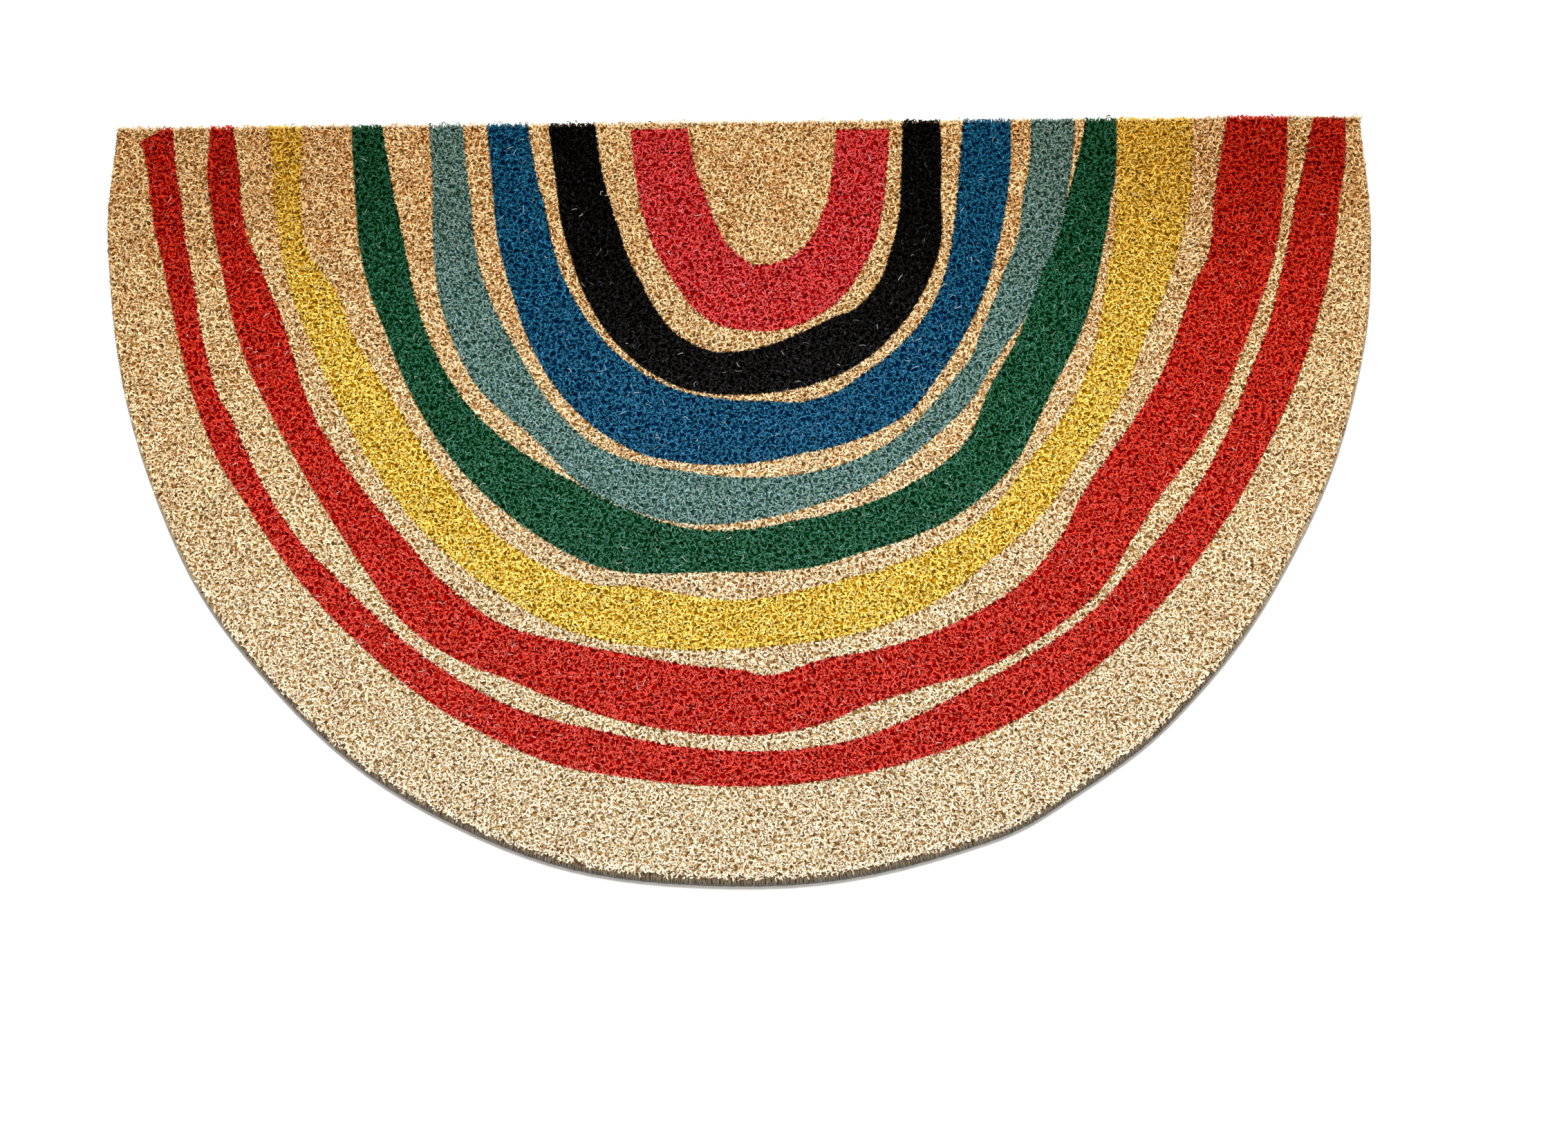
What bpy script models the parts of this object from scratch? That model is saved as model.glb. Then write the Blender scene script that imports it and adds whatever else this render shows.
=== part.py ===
"""Half-round coir doormat lying flat: a dense pile of coir on a thin grey backing sheet."""

import math

import bmesh
import bpy
from mathutils import Matrix, Vector

# Driving dimensions, in metres
WIDTH = 0.750
DEPTH = 0.450
THICKNESS = 0.015
BACKING_THICKNESS = 0.0025
LAYER_GAP = 0.0003
BACK_STEP = 0.0008
BACK_STEP_FROM_CENTRE = 0.286
BACK_STEP_RUN = 0.006
CORNER_DROP = 0.0010
BACKING_EDGE_SHOWING = 0.0015
PILE_LEAN_IN = 0.0045

# The rim follows a circle whose centre lies ahead of the straight back cut
RIM_RADIUS = WIDTH / 2
BACK_Y = DEPTH / 2
RIM_CENTRE_Y = RIM_RADIUS - DEPTH / 2

# How far the rim's cut strays outside the circle, counter-clockwise from the right
RIM_CUT = (
    # angle in degrees, offset in millimetres
    (180.0, -0.7),
    (204.0, -3.0),
    (222.0, -0.5),
    (244.0, 2.0),
    (266.0, 0.0),
    (292.0, 3.2),
    (301.0, 1.7),
    (312.0, 0.8),
    (330.0, -3.5),
    (347.0, -2.5),
    (360.0, -0.4),
)
CORNER_CUT_MM = 3.8

# The pile's side, from its foot to its flat top
PILE_SIDE = (
    # share of the pile's height, share of its lean in
    (0.62, 0.25),
    (0.86, 0.55),
    (1.00, 1.00),
)
# The round rim leans in towards a point ahead of the back cut, so the back stays nearly upright
LEAN_POINT_AHEAD = 0.100
LEAN_POINT = Vector((0.0, BACK_Y - LEAN_POINT_AHEAD, 0.0))

CURVE_STEPS = 10
WELD_DISTANCE = 0.00001
SHARP_ANGLE_DEGREES = 40

BACKING_GREY = (0.22, 0.22, 0.21, 1.0)
COIR_TAN = (0.62, 0.42, 0.20, 1.0)
BACKING_ROUGHNESS = 0.7
COIR_ROUGHNESS = 0.95


def clear_scene():
    for obj in list(bpy.data.objects):
        bpy.data.objects.remove(obj, do_unlink=True)


def make_collection(name):
    collection = bpy.data.collections.new(name)
    bpy.context.scene.collection.children.link(collection)
    return collection


def make_material(name, colour, roughness):
    material = bpy.data.materials.new(name)
    material.use_nodes = True
    shader = material.node_tree.nodes["Principled BSDF"]
    shader.inputs["Base Color"].default_value = colour
    shader.inputs["Roughness"].default_value = roughness
    shader.inputs["Metallic"].default_value = 0.0
    return material


def backing_material():
    return make_material("backing_pvc", BACKING_GREY, BACKING_ROUGHNESS)


def coir_material():
    return make_material("coir_fibre", COIR_TAN, COIR_ROUGHNESS)


def rim_point(angle_degrees, offset_mm):
    """A point of the rim, from its angle around the rim circle's centre."""
    angle = math.radians(angle_degrees)
    radius = RIM_RADIUS + offset_mm / 1000
    return Vector((radius * math.cos(angle), RIM_CENTRE_Y + radius * math.sin(angle), 0.0))


def corner_point(side):
    """Where the rim meets the straight back cut; side is -1 at the left and 1 at the right."""
    radius = RIM_RADIUS + CORNER_CUT_MM / 1000
    half_chord = math.sqrt(radius ** 2 - (BACK_Y - RIM_CENTRE_Y) ** 2)
    return Vector((side * half_chord, BACK_Y, 0.0))


def outline_points():
    """The mat's outline, as curve points and whether each is a sharp corner."""
    left = corner_point(-1)
    left.y -= BACK_STEP + CORNER_DROP
    right = corner_point(1)
    right.y -= CORNER_DROP
    step_start = Vector((BACK_STEP_FROM_CENTRE, BACK_Y - BACK_STEP, 0.0))
    step_end = Vector((BACK_STEP_FROM_CENTRE + BACK_STEP_RUN, BACK_Y, 0.0))
    points = [(left, True)]
    points += [(rim_point(angle, offset), False) for angle, offset in RIM_CUT]
    points += [(right, True), (step_end, True), (step_start, True)]
    return points


def outline_curve(name):
    """The outline as a filled flat curve: smooth round the rim, straight along the back cut."""
    points = outline_points()
    curve = bpy.data.curves.new(name, "CURVE")
    curve.dimensions = "2D"
    curve.fill_mode = "BOTH"
    curve.resolution_u = CURVE_STEPS
    spline = curve.splines.new("BEZIER")
    spline.bezier_points.add(len(points) - 1)
    spline.use_cyclic_u = True
    for bezier, (point, sharp) in zip(spline.bezier_points, points):
        bezier.co = point
        bezier.handle_left_type = "VECTOR" if sharp else "AUTO"
        bezier.handle_right_type = "VECTOR" if sharp else "AUTO"
    return bpy.data.objects.new(name, curve)


def outline_mesh(name, collection):
    """The outline as a mesh of one face."""
    guide = outline_curve(name + "_outline")
    collection.objects.link(guide)
    bpy.context.view_layer.update()
    mesh = bpy.data.meshes.new_from_object(guide.evaluated_get(bpy.context.evaluated_depsgraph_get()))
    bpy.data.objects.remove(guide, do_unlink=True)
    return mesh


def lean_in(bm, verts, distance):
    """Draws points in from the round rim by a distance, measured at the sides."""
    factor = 1.0 - distance / RIM_RADIUS
    bmesh.ops.scale(bm, verts=verts, vec=(factor, factor, 1.0), space=Matrix.Translation(-LEAN_POINT))


def raise_ring(bm, ring, height, distance):
    """Extrudes a ring of edges upwards and draws it in; gives the new ring."""
    raised = bmesh.ops.extrude_edge_only(bm, edges=ring)["geom"]
    verts = {item for item in raised if isinstance(item, bmesh.types.BMVert)}
    bmesh.ops.translate(bm, verts=list(verts), vec=(0.0, 0.0, height))
    lean_in(bm, list(verts), distance)
    edges = [item for item in raised if isinstance(item, bmesh.types.BMEdge)]
    return [edge for edge in edges if verts.issuperset(edge.verts)]


def slab(name, collection, material, bottom, inset, steps):
    """A flat slab on the mat's outline; steps are the height and lean of each ring above it."""
    mesh = outline_mesh(name, collection)
    bm = bmesh.new()
    bm.from_mesh(mesh)
    bmesh.ops.remove_doubles(bm, verts=bm.verts, dist=WELD_DISTANCE)
    underside = bmesh.ops.dissolve_faces(bm, faces=bm.faces[:])["region"][0]
    bmesh.ops.translate(bm, verts=bm.verts, vec=(0.0, 0.0, bottom))
    lean_in(bm, bm.verts[:], inset)
    ring = list(underside.edges)
    for height, distance in steps:
        ring = raise_ring(bm, ring, height, distance)
    bmesh.ops.contextual_create(bm, geom=ring)
    bmesh.ops.recalc_face_normals(bm, faces=bm.faces[:])
    bm.to_mesh(mesh)
    bm.free()
    mesh.materials.clear()
    mesh.materials.append(material)
    mesh.set_sharp_from_angle(angle=math.radians(SHARP_ANGLE_DEGREES))
    obj = bpy.data.objects.new(name, mesh)
    collection.objects.link(obj)
    return obj


def make_backing(collection):
    return slab("backing", collection, backing_material(), 0.0, 0.0, [(BACKING_THICKNESS, 0.0)])


def make_coir_pile(collection):
    foot = BACKING_THICKNESS + LAYER_GAP
    pile_height = THICKNESS - foot
    lean = PILE_LEAN_IN - BACKING_EDGE_SHOWING
    steps = []
    height_done = 0.0
    lean_done = 0.0
    for height_share, lean_share in PILE_SIDE:
        steps.append((pile_height * (height_share - height_done), lean * (lean_share - lean_done)))
        height_done = height_share
        lean_done = lean_share
    return slab("coir_pile", collection, coir_material(), foot, BACKING_EDGE_SHOWING, steps)


def main():
    clear_scene()
    collection = make_collection("coir_doormat")
    make_backing(collection)
    make_coir_pile(collection)


main()
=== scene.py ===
"""Looks of a half-round coir doormat: printed tufts, bristly cut edge, loose fibres and grey backing."""

import math
from typing import NamedTuple

import bpy
import numpy as np
from bpy.props import FloatProperty, FloatVectorProperty, IntProperty, PointerProperty
from mathutils import Matrix, Vector


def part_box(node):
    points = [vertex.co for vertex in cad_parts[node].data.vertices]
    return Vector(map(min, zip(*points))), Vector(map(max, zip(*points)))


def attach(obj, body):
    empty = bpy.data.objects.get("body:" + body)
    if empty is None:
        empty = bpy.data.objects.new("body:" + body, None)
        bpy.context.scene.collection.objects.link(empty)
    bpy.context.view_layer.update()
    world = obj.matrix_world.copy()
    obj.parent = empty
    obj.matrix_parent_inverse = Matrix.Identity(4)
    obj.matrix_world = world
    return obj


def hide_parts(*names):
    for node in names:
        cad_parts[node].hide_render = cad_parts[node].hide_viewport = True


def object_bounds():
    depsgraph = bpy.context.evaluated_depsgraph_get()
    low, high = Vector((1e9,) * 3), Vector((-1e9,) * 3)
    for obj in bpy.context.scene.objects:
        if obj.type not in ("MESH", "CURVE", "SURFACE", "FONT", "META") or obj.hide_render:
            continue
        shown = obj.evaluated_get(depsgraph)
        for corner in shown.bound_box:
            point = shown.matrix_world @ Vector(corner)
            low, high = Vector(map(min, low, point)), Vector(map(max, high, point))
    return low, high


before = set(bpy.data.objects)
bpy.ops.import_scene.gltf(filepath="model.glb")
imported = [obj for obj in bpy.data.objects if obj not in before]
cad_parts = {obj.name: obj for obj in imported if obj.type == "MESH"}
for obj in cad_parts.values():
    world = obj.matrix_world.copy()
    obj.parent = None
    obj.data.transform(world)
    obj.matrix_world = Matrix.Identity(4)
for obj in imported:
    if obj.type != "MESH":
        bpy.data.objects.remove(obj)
CAD_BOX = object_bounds()

bl_info = {
    "name": "Coir Doormat",
    "version": (1, 0, 0),
    "blender": (4, 5, 0),
    "location": "View3D > Sidebar > Coir Mat",
    "description": "Half-round coir doormat with printed arches, built on a packed frame",
    "category": "Add Mesh",
}

MM = 0.001
TINY = 0.01 * MM
FLOOR_SIZE = 30.0
MAT_LOW, MAT_HIGH = (Vector(corner) for corner in CAD_BOX)
PILE_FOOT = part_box("coir_pile")[0].z
PILE_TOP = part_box("coir_pile")[1].z

# The arches are struck from one point, and end on straight legs at the back edge. Places along them
# are in degrees round the front, from 0 at the left to 180 at the right; a leg counts as 30 more.
LEG_LENGTH = 52 * MM
LEG_DEGREES = 30
LEFT_END = -LEG_DEGREES
ALL_DEGREES = 180 + 2 * LEG_DEGREES
ARCH_CENTRE = Vector((13 * MM, MAT_HIGH.y - LEG_LENGTH))
ARCH_REACH = 400 * MM
PAST_THE_BACK = -5


class Arch(NamedTuple):
    """One printed arch. Its edges give the millimetres from the centre at the degrees round the front
    where the hand-cut edge bends. Its ends stop short of the back edge, and the left one may slant."""

    name: str
    dye: str
    inner: dict
    outer: dict
    left_short: float = PAST_THE_BACK
    right_short: float = PAST_THE_BACK
    left_slant: float = 0.0


ARCHES = (
    Arch(
        "crimson", "crimson",
        {-30: 44, -10: 37, 0: 31, 25: 29, 50: 31, 70: 34, 85: 37, 150: 36, 175: 37, 183: 40, 210: 46},
        {-30: 77, -15: 75, 0: 71, 15: 68, 30: 68, 45: 70, 60: 75, 72: 77, 90: 77, 120: 75, 135: 73, 150: 71,
         170: 71, 183: 73, 205: 76, 210: 76},
        left_short=6, right_short=7,
    ),
    Arch(
        "black", "black",
        {-30: 98, -8: 92, 0: 88, 15: 84, 30: 84, 45: 88, 57: 92, 70: 93, 80: 90, 90: 86, 105: 81, 120: 80,
         132: 84, 150: 83, 160: 81, 210: 84},
        {-30: 126, 0: 119, 18: 116, 45: 119, 60: 120, 90: 114, 120: 112, 150: 109, 170: 108, 180: 106,
         197: 107, 210: 106},
    ),
    Arch(
        "blue", "blue",
        {-30: 138, -8: 131, 0: 127, 15: 124, 60: 122, 90: 118, 103: 121, 110: 121, 120: 118, 150: 117,
         162: 115, 172: 114, 180: 115, 210: 120},
        {-30: 162, 0: 157, 18: 155, 30: 158, 45: 163, 60: 165, 75: 160, 90: 154, 100: 151, 122: 152,
         135: 146, 150: 142, 165: 141, 175: 143, 185: 146, 200: 148, 210: 148},
    ),
    Arch(
        "sage", "sage",
        {-30: 176, -12: 173, 0: 170, 13: 169, 30: 167, 45: 171, 55: 173, 62: 171, 75: 165, 90: 163,
         110: 162, 120: 160, 135: 154, 143: 153, 150: 149, 162: 148, 172: 152, 182: 154, 192: 158,
         210: 160},
        {-30: 196, 0: 193, 20: 197, 32: 198, 39: 195, 46: 192, 60: 197, 76: 195, 90: 187, 102: 181,
         110: 179, 118: 175, 125: 172, 135: 170, 145: 166, 165: 174, 181: 180, 200: 185, 210: 186},
    ),
    Arch(
        "green", "green",
        {-30: 224, 0: 214, 7: 210, 30: 209, 40: 206, 47: 202, 60: 197, 75: 197, 90: 192, 96: 189, 116: 188,
         128: 186, 141: 172, 150: 170, 163: 169, 172: 175, 189: 184, 200: 189, 210: 193},
        {-30: 242, 0: 238, 12: 235, 20: 232, 45: 235, 62: 235, 68: 233, 82: 220, 90: 218, 99: 217, 105: 215,
         120: 217, 132: 214, 144: 204, 150: 202, 168: 202, 178: 205, 189: 209, 210: 211},
    ),
    Arch(
        "yellow", "yellow",
        {-30: 271, 0: 270, 5: 268, 9: 259, 13: 252, 17: 251, 22: 247, 29: 243, 40: 244, 52: 248, 66: 245,
         73: 236, 87: 234, 94: 230, 105: 227, 117: 227, 129: 223, 132: 219, 141: 217, 151: 215, 160: 210,
         169: 207, 180: 209, 210: 211},
        {-30: 292, -9: 287, -3: 287, 4: 283, 9: 281, 18: 275, 29: 273, 47: 275, 56: 275, 63: 275, 79: 267,
         90: 261, 103: 259, 114: 255, 120: 250, 131: 246, 141: 240, 150: 240, 159: 238, 168: 243, 174: 247,
         181: 253, 192: 254, 200: 255, 210: 255},
    ),
    Arch(
        "inner_red", "red",
        {-30: 312, -11: 307, 0: 305, 3: 302, 8: 294, 16: 287, 25: 288, 33: 286, 42: 285, 50: 288, 57: 289,
         66: 281, 75: 275, 87: 274, 90: 277, 98: 270, 109: 271, 122: 270, 131: 262, 136: 254, 143: 251,
         155: 254, 168: 257, 173: 264, 180: 266, 195: 271, 210: 276},
        {-30: 325, -15: 326, 0: 323, 7: 318, 15: 315, 30: 309, 42: 313, 52: 321, 57: 319, 63: 314, 77: 313,
         90: 311, 96: 307, 102: 300, 108: 299, 114: 302, 129: 301, 137: 292, 143: 289, 150: 292, 162: 294,
         174: 303, 180: 307, 210: 312},
    ),
    Arch(
        "outer_red", "red",
        {-30: 348, 0: 340, 9: 335, 19: 335, 23: 332, 34: 332, 45: 328, 60: 328, 75: 321, 90: 320, 99: 318,
         106: 313, 113: 308, 129: 306, 135: 303, 145: 303, 159: 302, 166: 305, 173: 308, 180: 314, 195: 321,
         210: 327},
        {-30: 368, -24: 366, -12: 361, 0: 358, 7: 351, 15: 349, 25: 349, 32: 346, 45: 346, 60: 348, 68: 348,
         78: 343, 90: 340, 105: 337, 115: 336, 125: 333, 132: 330, 150: 327, 165: 331, 172: 335, 180: 340,
         195: 345, 210: 346},
        left_short=1, right_short=2, left_slant=10,
    ),
)

# The bare coir between the arches is in two pieces, which meet at the green arch's inner edge
GAPS_MEET = ARCHES[4].inner

DYES = ("red", "yellow", "green", "sage", "blue", "black", "crimson")

CAMERA_AIM = Vector((24.9 * MM, -40.5 * MM, PILE_TOP))
CAMERA_DISTANCE = 1.0
CAMERA_TILT = math.radians(6.5)
CAMERA_ROLL = math.radians(-0.46)
CAMERA_LENS = 40.05

KEY_PLACE = (0.1, 0.36, 1.6)
KEY_SIZE = 0.8
KEY_POWER = 33.0
KEY_COLOUR = (1.0, 0.98, 0.95)
SKY_COLOUR = (1.0, 0.99, 0.97, 1.0)

# The pile's side leans in towards one point, so the back stays nearly upright. Within the band
# along the back cut, strands are placed square to it.
LEAN_POINT = (0.0, MAT_HIGH.y - 0.1)
BACK_BAND = 4 * MM
OUTLINE_POINTS = 2400

# A drift is a distance and a seed. Strands are tubes or ribbons that end in a point, each with its
# own cell in the map.
TUBE_POINTS = 3
RIBBON_POINTS = 2
CELL_MARGIN = 0.06
DRIFT_WAVES = 6

# The bed of packed roots
BED_AROUND = 300
BED_RINGS = 36
BED_TOP = 12.6 * MM
BED_INSET = 1.2 * MM
BED_ROUNDING = 0.4 * MM
BED_SIDE = (
    # share of the way up the pile's side, height
    (0.0, PILE_FOOT),
    (0.35, 0.5 * (PILE_FOOT + BED_TOP)),
    (0.8, BED_TOP - BED_ROUNDING),
)
# Painted shade: the bed is coloured as the shaded bottom of the pile
BED_LIGHT = 0.13
LUMP_HEIGHT = 0.35 * MM
LUMP_DRIFT = (7 * MM, 5)

# The dark pits, and the tufts between them. Ranges are shares of the sizes that a user can set.
PIT_SEED = 3
PIT_JITTER = 0.42
PIT_RADII = (0.4, 1.2)
TUFT_SEED = 7
TUFT_JITTER = 0.45
TUFT_FOOT = BED_TOP - 0.9 * MM
TUFT_STEPS = (
    # share of the reach, share of the height
    (0.28, 0.75),
    (0.36, 0.25),
    (0.36, 0.00),
)
# Painted shade along a tuft, from its foot to its tip
TUFT_LIGHTS = (0.45, 0.8, 0.95, 1.0)
TUFT_TAPER = (0.9, 1.0, 0.9)
TUFT_REACHES = (0.6, 1.2)
TUFT_WIDTHS = (0.7, 1.3)
TUFT_TWIST = 0.6
TUFT_CURL = 1.3
LOWEST_TUFT = 0.45
LEVEL_POWER = 0.6
LEAN_SPREAD = 1.2
LEAN_DRIFT = (16 * MM, 41)
SWELL_HEIGHT = 0.2 * MM
SWELL_DRIFT = (30 * MM, 43)

# How the pile ends at the cut: roots keep this much room, and tips this inset or overhang
SIDE_ROOM = 0.2 * MM
BACK_ROOM = -0.7 * MM
SIDE_INSET = 0.4 * MM
BACK_OVERHANG = 1.5 * MM
SHOULDER_DROP = 1.6 * MM

# The bristles on the cut side
EDGE_SEED = 19
EDGE_ROWS = (
    # inset from the foot's outline, rise of the tips
    (0.35 * MM, 0.0),
    (1.1 * MM, 0.6 * MM),
)
EDGE_JOINTS = (
    # share of the side's lean, share of the height
    (0.0, 0.0),
    (0.35, 0.62),
    (0.95, 1.0),
)
# Painted shade along an edge bristle, darkest at its top under the tufts
EDGE_LIGHTS = (0.5, 0.7, 0.45)
EDGE_ROOT = 0.2 * MM
EDGE_DROP = 1.4 * MM
BACK_LEAN = 1.0 * MM
BACK_RISE = 0.9 * MM

# The loose fibres
LOOSE_SEED = 23
LOOSE_JOINTS = 4
LOOSE_MARGIN = 8 * MM
LOOSE_LENGTHS = (1.5 * MM, 5.5 * MM)
LOOSE_BEND = 0.6
LOOSE_DEPTH = 0.7 * MM
LOOSE_RISE = 0.9 * MM

# Painted shade: how a strand darkens and grows richer down into the pile, where the shade falls
MEAN_CHANCE = 0.56
LIGHTEST = 1.13
SIDE_SHADE = 0.58
PIT_SHADE = 0.07
RICHNESS = 2.25
DEPTH = 1.42
PIT_LIGHTS = (0.0, 0.3)
TIP_LIGHTS = (0.36, 0.86)
DRY_SPECULAR = 0.0

# Painted falloff of light: how the pile darkens and browns towards the back and its back corners, which are
# given in metres from the mat's middle
PAINTED_FALLOFF_TINT = (0.64, 0.50, 0.40)
CORNER_X = (0.10, 0.28)
CORNER_Y = (0.10, 0.20)

# Husk, and thin worn dye that also stands in for painted sheen on the fibres, on the strands whose random
# number lies above a range
HUSK_TONES = (0.972, 0.980)
WORN_AND_SHEEN_TONES = (0.82, 0.92)
WORN_AND_SHEEN_GAMMA = 0.74
WORN_AND_SHEEN_TINT = (0.85, 1.0, 1.25)

PRINT_SOFTNESS = 0.8 * MM
# Painted light: how far the dye pales towards the front
DYE_FRONT_LIGHT = 0.045
DYE_DEPTH = 2.5 * MM
# Painted light: how much of the paler, cooler front-lit colour goes into bare coir towards the front, on
# the top and on the cut side
TOP_FRONT_LIGHT = 0.78
SIDE_FRONT_LIGHT = 0.3
# Dust and painted shade on the cut side, from its sides to its front
SIDE_DUST_AND_SHADE = (0.35, 0.85)
PATCH_SIZE = 16 * MM
LOCK_SIZE = 4 * MM
MOTTLE_SIZE = 1.6 * MM
BLOTCH_SIZE = 6 * MM


def colour_property(name, description, default):
    return FloatVectorProperty(
        name=name, description=description, default=default, subtype="COLOR", size=3, min=0.0, max=1.0
    )


def length_property(name, description, millimetres):
    return FloatProperty(
        name=name, description=description, default=millimetres * MM, min=0.0, unit="LENGTH"
    )


class CoirMatSizes(bpy.types.PropertyGroup):
    tuft_spacing: length_property("Tuft spacing", "Distance between neighbouring tufts", 1.23)
    tuft_reach: length_property("Tuft reach", "How far a tuft's tip lies from its root", 3.0)
    tuft_width: length_property("Tuft width", "Width of a tuft's loose end", 0.75)
    tuft_height: length_property("Tuft height", "Height of the loose top of a tuft", 3.0)
    pit_spacing: length_property("Pit spacing", "Distance between the dark pits in the pile", 3.6)
    pit_radius: length_property("Pit radius", "Radius of the wider dark pits", 1.2)
    shoulder: length_property("Shoulder", "Width of the rounded shoulder at the cut edge", 5.0)
    edge_inset: length_property("Edge inset", "How far the front's tips stay inside the cut", 4.2)
    edge_spacing: length_property("Edge bristle spacing", "Distance between edge bristles", 0.85)
    edge_width: length_property("Edge bristle width", "Width of a bristle on the cut edge", 1.1)
    fray: length_property("Print fray", "How far the printed edge wanders from fibre to fibre", 1.0)
    loose_fibres: IntProperty(name="Loose fibres", description="Number of loose fibres", default=1400)
    loose_width: length_property("Loose fibre width", "Thickness of a loose fibre", 0.4)


class CoirMatColours(bpy.types.PropertyGroup):
    pale: colour_property("Pale coir", "The palest natural fibre", (0.96, 0.775, 0.46))
    tan: colour_property("Tan coir", "The tan natural fibre", (0.74, 0.475, 0.21))
    husk: colour_property("Husk", "Dark bits of husk among the fibre", (0.16, 0.06, 0.02))
    # bleached is painted light: the paler, cooler colour that bare coir turns towards the front
    bleached: colour_property("Bleached coir", "Natural fibre bleached by the light", (0.86, 0.79, 0.64))
    # cut_edge is dusty fibre darkened with painted shade
    cut_edge: colour_property("Cut edge", "The dusty cut side of the pile", (0.155, 0.13, 0.105))
    red: colour_property("Red dye", "The two outer arches", (0.635, 0.0388, 0.0186))
    yellow: colour_property("Yellow dye", "The yellow arch", (0.88, 0.645, 0.122))
    green: colour_property("Green dye", "The green arch", (0.021, 0.120, 0.060))
    sage: colour_property("Sage dye", "The grey-green arch", (0.174, 0.290, 0.264))
    blue: colour_property("Blue dye", "The blue arch", (0.012, 0.119, 0.218))
    black: colour_property("Black dye", "The black arch", (0.0048, 0.0043, 0.0043))
    crimson: colour_property("Crimson dye", "The innermost arch", (0.70, 0.070, 0.069))
    # Also the tint that painted light mixes into the dye towards the front
    faded: colour_property("Faded dye", "The pale tint of the worn dye", (0.65, 0.66, 0.62))
    backing: colour_property("Backing", "The grey backing sheet", (0.30, 0.29, 0.27))
    floor: colour_property("Floor", "The floor under the mat", (0.82, 0.82, 0.82))


class Outline:
    """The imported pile's outline at one height, as evenly spaced points from the left corner."""

    def __init__(self, height):
        points = np.array([vertex.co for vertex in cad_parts["coir_pile"].data.vertices])
        ring = points[np.abs(points[:, 2] - height) < TINY, :2]
        ring = np.unique(ring.round(6), axis=0)
        ring = ring[np.argsort(np.arctan2(*(ring - LEAN_POINT).T[::-1]))]
        ring = np.roll(ring, -np.argmin(ring[:, 0] - ring[:, 1]), axis=0)
        closed = np.vstack((ring, ring[:1]))
        run = np.concatenate(([0.0], np.cumsum(np.linalg.norm(np.diff(closed, axis=0), axis=1))))
        self.length = run[-1]
        where = np.linspace(0.0, self.length, OUTLINE_POINTS, endpoint=False)
        self.points = np.stack([np.interp(where, run, closed[:, axis]) for axis in (0, 1)], axis=1)
        along = np.roll(self.points, -1, axis=0) - np.roll(self.points, 1, axis=0)
        along /= np.linalg.norm(along, axis=1, keepdims=True)
        self.outward = np.stack((along[:, 1], -along[:, 0]), axis=1)
        self.angles = np.arctan2(*(self.points - LEAN_POINT).T[::-1])
        self.radii = np.linalg.norm(self.points - LEAN_POINT, axis=1)

    def measure(self, xy):
        """How far points lie inside the line, and the way in from it: straight in from the back edge,
        and towards the mat's middle elsewhere."""
        offset = xy - LEAN_POINT
        run = np.maximum(np.linalg.norm(offset, axis=1), TINY)
        angle = np.arctan2(offset[:, 1], offset[:, 0])
        reach = np.interp(angle, self.angles, self.radii, period=math.tau)
        at_back = reach * np.sin(angle) > MAT_HIGH.y - LEAN_POINT[1] - BACK_BAND
        inward = np.where(at_back[:, None], (0.0, -1.0), -offset / run[:, None])
        return (reach - run) * np.where(at_back, np.sin(angle), 1.0), inward

    def at(self, share):
        """Points and outward directions at shares of the way round."""
        place = share * len(self.points)
        low = np.floor(place).astype(int)
        part = (place - low)[:, None]
        low %= len(self.points)
        high = (low + 1) % len(self.points)
        return (
            self.points[low] * (1 - part) + self.points[high] * part,
            self.outward[low] * (1 - part) + self.outward[high] * part,
        )


def arch_place(x, y):
    """The degrees round the front and the distance from the arches' centre."""
    across = x - ARCH_CENTRE.x
    ahead = y - ARCH_CENTRE.y
    down = np.maximum(-ahead, 0.0)
    degrees = 180 - np.degrees(np.arctan2(down, across))
    degrees = degrees + np.sign(across) * np.maximum(ahead, 0.0) / LEG_LENGTH * LEG_DEGREES
    return degrees, np.hypot(across, down)


def edge_radius(edge, degrees):
    return np.interp(degrees, list(edge), np.array(list(edge.values())) * MM)


def tuft_regions(x, y):
    """The name of the stretch of pile that each point belongs to."""
    degrees, distance = arch_place(x, y)
    region = np.where(distance < edge_radius(GAPS_MEET, degrees), "inner_gaps", "outer_gaps").astype(object)
    region[distance < edge_radius(ARCHES[0].inner, degrees)] = "heart"
    outside = distance > edge_radius(ARCHES[-1].outer, degrees)
    region[outside] = np.where(x[outside] < ARCH_CENTRE.x, "left_border", "right_border")
    for arch in ARCHES:
        past_inner = distance >= edge_radius(arch.inner, degrees)
        region[past_inner & (distance <= edge_radius(arch.outer, degrees))] = arch.name
    return region


def jittered_points(rng, spacing, jitter):
    """Points over the mat's box in staggered rows, each moved a little at random."""
    rows = np.arange(MAT_LOW.y, MAT_HIGH.y, spacing)
    places = np.arange(MAT_LOW.x, MAT_HIGH.x, spacing)
    x, y = np.meshgrid(places, rows)
    x = x + 0.5 * spacing * (np.arange(len(rows)) % 2)[:, None]
    xy = np.stack((x.ravel(), y.ravel()), axis=1)
    return xy + rng.uniform(-jitter, jitter, xy.shape) * spacing


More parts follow.
